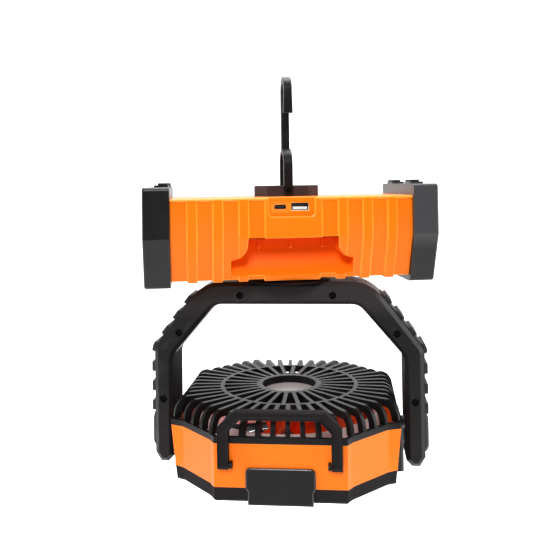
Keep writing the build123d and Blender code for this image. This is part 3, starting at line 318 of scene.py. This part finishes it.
def moulded_plastic(name, colour, shade, worn_and_lit, roughness, grain, bump, wear_and_highlight, specular=0.5, glow=None):
    """Injection-moulded plastic with fine grain, slow tone changes and lighter edges, partly from rubbing and
    partly a painted highlight.
    """
    material, shader = new_material(name)
    tree = material.node_tree
    cloud = grained(shader, grain, roughness, variation=0.14, strength=bump, distance=0.0002)
    tone = mix_colours(tree, cloud, colour, shade)
    edges = node(tree, "ShaderNodeGroup", node_tree=EDGE_WEAR_AND_HIGHLIGHT, Colour=tone, Worn_Colour=worn_and_lit, Amount=wear_and_highlight)
    set_inputs(shader, Base_Color=edges.outputs["Colour"], Specular_IOR_Level=specular)
    # painted light: a glow given here makes the piece shine though it is no lamp
    if glow:
        set_inputs(shader, Emission_Color=glow[0], Emission_Strength=glow[1])
    return material


def paint_light_above(material, low, high, colour):
    """Blends a finish into another colour between two heights, in mm above the base's swivel side, as painted
    light that grows towards the top.
    """
    tree = material.node_tree
    shader = tree.nodes["Principled BSDF"]
    own = shader.inputs["Base Color"].links[0].from_socket
    set_inputs(shader, Base_Color=mix_colours(tree, height_mask(tree, low, high), own, colour))


def bare_metal(name, colour, roughness):
    """Metal with a fine uneven surface."""
    material, shader = new_material(name)
    grained(shader, grain=900.0, roughness=roughness, variation=0.15, strength=0.12, distance=0.0001)
    set_inputs(shader, Base_Color=colour, Metallic=1.0)
    return material


def black_plastic(name):
    """The dark plastic of the end caps, the front grille and the pivot plates."""
    return moulded_plastic(
        name, (0.0055, 0.0050, 0.0053, 1), (0.0050, 0.0045, 0.0048, 1), (0.04, 0.038, 0.038, 1),
        roughness=0.34, grain=2600.0, bump=0.08, wear_and_highlight=0.4, specular=0.28,
    )


def recess_painted_shade(low, high):
    """Orange of a deep recess with painted shade, which turns red towards its upper edge, between two heights.
    """
    material, shader = new_material("recess_orange_painted_shade")
    tree = material.node_tree
    # painted shade: darker red towards the ledge above
    red = mix_colours(tree, height_mask(tree, low, high), (0.96, 0.155, 0.001, 1), (0.80, 0.060, 0.001, 1))
    set_inputs(shader, Base_Color=red, Roughness=0.4, Specular_IOR_Level=0.1)
    return material


def clear_plastic():
    """Frosted clear plastic of the lamp's ring and the indicator window."""
    material, shader = new_material("clear_plastic")
    grained(shader, grain=1600.0, roughness=0.38, variation=0.1, strength=0.2, distance=0.0002)
    set_inputs(
        shader, Base_Color=(0.62, 0.62, 0.60, 1), Subsurface_Weight=0.25,
        Subsurface_Radius=(0.004, 0.004, 0.004),
    )
    return material


# heights in mm above the base's swivel side, the lower one first
RECESS_FLOOR, RECESS_LEDGE = 7.4, 36.3
CROSSBAR_PAINTED_LIGHT = (-28, -16)            # where the bracket's plastic turns lighter, painted light on its crossbar
CAP_PAINTED_LIGHT = (26, 38)                   # and that of the right end cap, painted light on its upper part

ORANGE = moulded_plastic(
    "orange_plastic", (0.96, 0.172, 0.002, 1), (0.93, 0.160, 0.001, 1), (1.0, 0.30, 0.03, 1),
    roughness=0.34, grain=2200.0, bump=0.03, wear_and_highlight=0.0, specular=0.2,
)
# painted highlight: a lighter orange on the rounded edges
ORANGE_HIGHLIGHT_RIM = moulded_plastic(
    "orange_highlight_rim", (1.0, 0.285, 0.018, 1), (1.0, 0.27, 0.015, 1), (1.0, 0.4, 0.1, 1),
    roughness=0.3, grain=2200.0, bump=0.02, wear_and_highlight=0.0, specular=0.3,
)
INNER_ORANGE = moulded_plastic(
    "inner_orange", (0.90, 0.055, 0.002, 1), (0.82, 0.045, 0.002, 1), (1.0, 0.12, 0.01, 1),
    roughness=0.4, grain=2200.0, bump=0.05, wear_and_highlight=0.2, specular=0.3,
)
RECESS_PAINTED_SHADE = recess_painted_shade(RECESS_FLOOR, RECESS_LEDGE)
BLACK = black_plastic("black_plastic")
CAP_BLACK = black_plastic("cap_plastic")
# painted light: the right end cap's plastic turns lighter towards its top
paint_light_above(CAP_BLACK, *CAP_PAINTED_LIGHT, (0.045, 0.043, 0.046, 1))
# painted highlight: a lighter, glossier black on the rounded edges
BLACK_HIGHLIGHT_RIM = moulded_plastic(
    "black_highlight_rim", (0.022, 0.021, 0.022, 1), (0.018, 0.017, 0.018, 1), (0.05, 0.05, 0.05, 1),
    roughness=0.26, grain=2600.0, bump=0.04, wear_and_highlight=0.0, specular=0.6,
)
GRILLE = moulded_plastic(
    "grille_plastic", (0.0060, 0.0055, 0.0057, 1), (0.0050, 0.0045, 0.0048, 1), (0.05, 0.048, 0.048, 1),
    roughness=0.32, grain=2600.0, bump=0.05, wear_and_highlight=0.4, specular=0.12,
)
FRAME_BLACK = moulded_plastic(
    "frame_plastic", (0.0118, 0.0108, 0.0111, 1), (0.0102, 0.0092, 0.0095, 1), (0.04, 0.038, 0.038, 1),
    roughness=0.38, grain=2600.0, bump=0.10, wear_and_highlight=0.3, specular=0.13,
)
# painted light: the bracket's plastic turns lighter upwards, towards the crossbar
paint_light_above(FRAME_BLACK, *CROSSBAR_PAINTED_LIGHT, (0.027, 0.0235, 0.024, 1))
DEEP_BLACK = moulded_plastic(
    "deep_black", (0.0045, 0.0040, 0.0042, 1), (0.0040, 0.0035, 0.0037, 1), (0.02, 0.02, 0.02, 1),
    roughness=0.42, grain=2600.0, bump=0.08, wear_and_highlight=0.2, specular=0.16,
)
# painted shade: a matt finish that reflects little, for the bezel, the bail and the arms' inner flanks
SHADE_BLACK = moulded_plastic(
    "shaded_plastic", (0.0160, 0.0140, 0.0140, 1), (0.0130, 0.0115, 0.0118, 1), (0.03, 0.028, 0.028, 1),
    roughness=0.72, grain=2600.0, bump=0.12, wear_and_highlight=0.2, specular=0.06,
)
BLOCK_BLACK = moulded_plastic(
    "block_plastic", (0.034, 0.027, 0.028, 1), (0.030, 0.023, 0.024, 1), (0.07, 0.06, 0.06, 1),
    roughness=0.4, grain=2600.0, bump=0.10, wear_and_highlight=0.3, specular=0.25,
)
SCREW_BLACK = moulded_plastic(
    "screw_black", (0.0012, 0.0012, 0.0012, 1), (0.0010, 0.0010, 0.0010, 1), (0.01, 0.01, 0.01, 1),
    roughness=0.6, grain=1200.0, bump=0.05, wear_and_highlight=0.1, specular=0.05,
)
RUBBER = moulded_plastic(
    "rubber", (0.010, 0.0095, 0.0100, 1), (0.008, 0.0075, 0.008, 1), (0.05, 0.048, 0.048, 1),
    roughness=0.55, grain=3200.0, bump=0.25, wear_and_highlight=0.3, specular=0.35,
)
HUB_DISC = moulded_plastic(
    "hub_disc", (0.27, 0.235, 0.23, 1), (0.25, 0.215, 0.21, 1), (0.5, 0.46, 0.45, 1),
    roughness=0.3, grain=2000.0, bump=0.04, wear_and_highlight=0.2, specular=0.6,
)
# painted light: the inner plastic glows faintly, so the ring behind the slots reads pale
INNER_PAINTED_GLOW = moulded_plastic(
    "inner_plastic", (0.52, 0.42, 0.40, 1), (0.48, 0.38, 0.36, 1), (0.62, 0.56, 0.54, 1),
    roughness=0.45, grain=2000.0, bump=0.1, wear_and_highlight=0.2, glow=((0.50, 0.36, 0.34, 1), 0.22),
)
WHITE_TONGUE = moulded_plastic(
    "port_tongue", (0.78, 0.77, 0.75, 1), (0.72, 0.71, 0.69, 1), (0.85, 0.85, 0.84, 1),
    roughness=0.35, grain=1800.0, bump=0.05, wear_and_highlight=0.1,
)
BOARD = moulded_plastic(
    "circuit_board", (0.020, 0.13, 0.045, 1), (0.015, 0.10, 0.035, 1), (0.2, 0.3, 0.15, 1),
    roughness=0.3, grain=900.0, bump=0.06, wear_and_highlight=0.1,
)
SLEEVE = moulded_plastic(
    "cell_sleeve", (0.04, 0.18, 0.36, 1), (0.03, 0.15, 0.31, 1), (0.2, 0.35, 0.5, 1),
    roughness=0.25, grain=700.0, bump=0.05, wear_and_highlight=0.1,
)
CLEAR = clear_plastic()
STEEL = bare_metal("steel", (0.58, 0.57, 0.56, 1), 0.32)
DARK_STEEL = bare_metal("dark_steel", (0.020, 0.020, 0.021, 1), 0.42)
PORT_STEEL = bare_metal("port_shell", (0.16, 0.15, 0.15, 1), 0.35)
MOTOR = bare_metal("motor_case", (0.32, 0.32, 0.33, 1), 0.38)


# ---------------------------------------------------------------- pieces
BODY_OF = {n: body for body, nodes in frame["record"]["behaviour"]["bodies"].items() for n in nodes}
SLOT_OF = {part["node"]: part["material_slot"] for part in frame["record"]["subparts"]}
# finish of each material slot, and of the rounded edges where these have one of their own; a lighter one on
# the edges is a painted highlight
SLOT_LOOKS = {
    "black_plastic": (BLACK, BLACK_HIGHLIGHT_RIM), "orange_plastic": (ORANGE, ORANGE_HIGHLIGHT_RIM), "rubber": (RUBBER, None),
    "steel": (STEEL, None), "dark_steel": (DARK_STEEL, None), "clear_plastic": (CLEAR, None),
    "inner_plastic": (INNER_PAINTED_GLOW, None), "circuit_board": (BOARD, None), "cell_sleeve": (SLEEVE, None),
    "motor_case": (MOTOR, None),
}
# pieces that differ from what their slot gives
OWN_LOOKS = {
    "bracket_rear_shell": (FRAME_BLACK, BLACK_HIGHLIGHT_RIM), "bracket_front_shell": (FRAME_BLACK, BLACK_HIGHLIGHT_RIM),
    "rear_plate": (FRAME_BLACK, BLACK_HIGHLIGHT_RIM), "front_bezel": (SHADE_BLACK, BLACK_HIGHLIGHT_RIM),
    "end_cap_right": (CAP_BLACK, BLACK_HIGHLIGHT_RIM), "hook": (DEEP_BLACK, BLACK_HIGHLIGHT_RIM),
    "hook_block": (BLOCK_BLACK, BLACK_HIGHLIGHT_RIM), "bail": (SHADE_BLACK, BLACK), "bail_lugs": (DEEP_BLACK, None),
    "swivel_disc": (DEEP_BLACK, None), "rear_grille": (DEEP_BLACK, None), "hub_cap": (HUB_DISC, None),
    "fan_blades": (INNER_ORANGE, None), "usb_c_socket": (PORT_STEEL, None), "usb_a_socket": (PORT_STEEL, None),
    "hook_pin": (SCREW_BLACK, None), "bail_pins": (SCREW_BLACK, None), "bracket_screws": (SCREW_BLACK, None),
}
# rounding of each moulded or machined piece's edges, in mm
EDGES = {
    "base_rear_shell": 0.6, "base_front_shell": 0.6, "end_cap_left": 0.8, "end_cap_right": 0.8,
    "feet": 0.6, "hook": 0.7, "hook_block": 0.6, "swivel_disc": 0.3,
    "bracket_rear_shell": 0.45, "bracket_front_shell": 0.45, "grip_left": 0.6, "grip_right": 0.6,
    "pivot_cap_left": 0.7, "pivot_cap_right": 0.7, "rear_grille": 0.45, "hub_cap": 0.3,
    "band_housing": 0.35, "front_bezel": 0.6, "front_grille": 0.3, "rear_plate": 0.5,
    "bail_lugs": 0.5, "pivot_plate_left": 0.35, "pivot_plate_right": 0.35, "lamp_button": 0.4,
    "fan_button": 0.4, "fan_blades": 0.3,
}
UNCLAMPED = {"base_rear_shell", "base_front_shell"}    # their shortest edges would hold it back
KEEP_TRIANGLES = {"rear_grille"}       # its rings would join into faces with holes
SAME_POINT = 0.002                     # mm between points that are merged
SAME_PLANE = math.radians(0.6)         # angle between faces that are joined
EDGE_ANGLE = math.radians(28)          # angle from which an edge is rounded
EDGE_SEGMENTS = 2
BAIL_EDGE = 0.35
BAIL_FLANGE = 1.5                      # edge left round the channel of the bail handle
BAIL_CHANNEL = 1.6                     # its depth
RECESS_HALF = 47.2                     # hand grip recess, in the base's frame
RECESS_BACK, RECESS_MOUTH = -19.0, -39.0
RECESS_MARGINS = (1, 0.2)              # room below the floor and above the ledge
PANEL_SLANT = (-0.6, -0.2)             # rise of the slanted outer panels, which keep their finish
PORT_Z = 60.1
USB_A_X = 5.0                          # middle of the large socket
TONGUE_DROP = 1.0                      # its tongue's middle below its own
TONGUE_WIDTH, TONGUE_HEIGHT = 10.9, 1.9
TONGUE_MARGIN = 0.1
PORT_DEPTHS = (-60, 0)
FACING = 0.9                           # cosine from which a face faces a direction
FLAT_ON = 0.98                         # and from which it is square to it


def direction(x, y, z):
    """Unit direction given along the bracket's own width, depth and height."""
    return (in_head(x, y, z) - in_head(0, 0, 0)).normalized()


def looks_of(node_name):
    """Finish of a piece and of its rounded edges."""
    return OWN_LOOKS.get(node_name) or SLOT_LOOKS[SLOT_OF[node_name]]


def make_active(piece):
    """Selects one piece alone, in object mode."""
    if bpy.context.object and bpy.context.object.mode != "OBJECT":
        bpy.ops.object.mode_set(mode="OBJECT")
    bpy.ops.object.select_all(action="DESELECT")
    piece.select_set(True)
    bpy.context.view_layer.objects.active = piece


def apply_modifiers(piece):
    """Applies every modifier of a piece, in order."""
    make_active(piece)
    for modifier in list(piece.modifiers):
        bpy.ops.object.modifier_apply(modifier=modifier.name)


def merged_copy(name, node_name):
    """A solid as one mesh with clean edges, which rides with it and stands for it."""
    mesh = bmesh.new()
    mesh.from_mesh(frame["nodes"][node_name].data)
    bmesh.ops.remove_doubles(mesh, verts=mesh.verts, dist=SAME_POINT * MM)
    if node_name not in KEEP_TRIANGLES:
        bmesh.ops.dissolve_limit(
            mesh, angle_limit=SAME_PLANE, verts=mesh.verts, edges=mesh.edges, delimit={"NORMAL"},
        )
    for face in mesh.faces:
        face.material_index = 0
    data = bpy.data.meshes.new(name)
    mesh.to_mesh(data)
    mesh.free()
    data.materials.append(looks_of(node_name)[0])
    piece = link_new(name, data)
    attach(piece, BODY_OF[node_name])
    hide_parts(node_name)
    return piece


def round_edges(piece, width, rim=None, clamp=True):
    """Bevels and smooths a piece's hard edges, with a rim finish of their own where one is given, mostly a
    lighter one that is a painted highlight.
    """
    bevel = piece.modifiers.new("rounding", "BEVEL")
    if rim:
        piece.data.materials.append(rim)
        bevel.material = 1
    bevel.width = width * MM
    bevel.segments = EDGE_SEGMENTS
    bevel.limit_method = "ANGLE"
    bevel.angle_limit = EDGE_ANGLE
    bevel.use_clamp_overlap = clamp
    apply_modifiers(piece)
    bpy.ops.object.shade_smooth_by_angle(angle=EDGE_ANGLE)
    weighted = piece.modifiers.new("flat_faces", "WEIGHTED_NORMAL")
    weighted.keep_sharp = True
    apply_modifiers(piece)


def paint_faces(piece, finish, chosen):
    """Gives a finish to the faces whose centre and normal are chosen."""
    piece.data.materials.append(finish)
    slot = len(piece.data.materials) - 1
    for face in piece.data.polygons:
        if chosen(face.center, face.normal):
            face.material_index = slot


def between(low, high, point):
    """True where a point lies in a box given by two corners."""
    return all(min(a, b) <= value <= max(a, b) for a, b, value in zip(low, high, point))


def finished(node_name):
    """The rounded copy of a solid."""
    return bpy.data.objects[node_name + "_finished"]


def finish_nodes():
    """Gives every solid that still shows its own finish."""
    for name, solid in frame["nodes"].items():
        solid.data.materials.clear()
        solid.data.materials.append(looks_of(name)[0])


def finish_edges():
    """Rounded copies of the solids in view."""
    for node_name, width in EDGES.items():
        piece = merged_copy(node_name + "_finished", node_name)
        round_edges(piece, width, rim=looks_of(node_name)[1], clamp=node_name not in UNCLAMPED)


def make_bail():
    """Bail handle with a moulded channel along its outer face."""
    piece = merged_copy("bail_handle", "bail")
    outward = direction(0, -1, 0)
    make_active(piece)
    for face in piece.data.polygons:
        face.select = face.normal.dot(outward) > FLAT_ON
    bpy.context.tool_settings.mesh_select_mode = (False, False, True)
    bpy.ops.object.mode_set(mode="EDIT")
    bpy.ops.mesh.inset(thickness=BAIL_FLANGE * MM, depth=-BAIL_CHANNEL * MM, use_even_offset=True)
    bpy.ops.object.mode_set(mode="OBJECT")
    round_edges(piece, BAIL_EDGE, rim=looks_of("bail")[1])


def make_grille_tops():
    """Smoother upper faces of the rear grille's fins and rings, over matt flanks."""
    paint_faces(finished("rear_grille"), GRILLE, lambda at, normal: normal.z > FACING)


def shade_arm_flanks():
    """Painted shade on the inner flanks of the bracket's arms, which face the head: a matt finish there."""
    across = direction(1, 0, 0)
    axis = in_head(0, 0, 0)

    def inner(at, normal):
        side = normal.dot(across)
        return abs(side) > FACING and side * (at - axis).dot(across) < 0

    for node_name in ("bracket_rear_shell", "bracket_front_shell"):
        paint_faces(finished(node_name), SHADE_BLACK, inner)


def paint_recess_shade():
    """Painted shade inside the hand grip's recess, redder towards its upper edge."""
    low = in_base(-RECESS_HALF, RECESS_MOUTH, RECESS_FLOOR - RECESS_MARGINS[0])
    high = in_base(RECESS_HALF, RECESS_BACK, RECESS_LEDGE + RECESS_MARGINS[1])
    paint_faces(
        finished("base_rear_shell"), RECESS_PAINTED_SHADE,
        lambda at, normal: between(low, high, at) and not PANEL_SLANT[0] < normal.z < PANEL_SLANT[1],
    )


def make_usb_tongue():
    """White tongue of the large charging socket."""
    half_width = TONGUE_WIDTH / 2 + TONGUE_MARGIN
    half_height = TONGUE_HEIGHT / 2 + TONGUE_MARGIN
    middle = PORT_Z - TONGUE_DROP
    low = in_base(USB_A_X - half_width, PORT_DEPTHS[0], middle - half_height)
    high = in_base(USB_A_X + half_width, PORT_DEPTHS[1], middle + half_height)
    piece = merged_copy("usb_a_port", "usb_a_socket")
    paint_faces(piece, WHITE_TONGUE, lambda at, normal: between(low, high, at))


add_camera()
add_stage()
add_lights()
finish_nodes()
finish_edges()
make_bail()
make_grille_tops()
shade_arm_flanks()
paint_recess_shade()
make_usb_tongue()
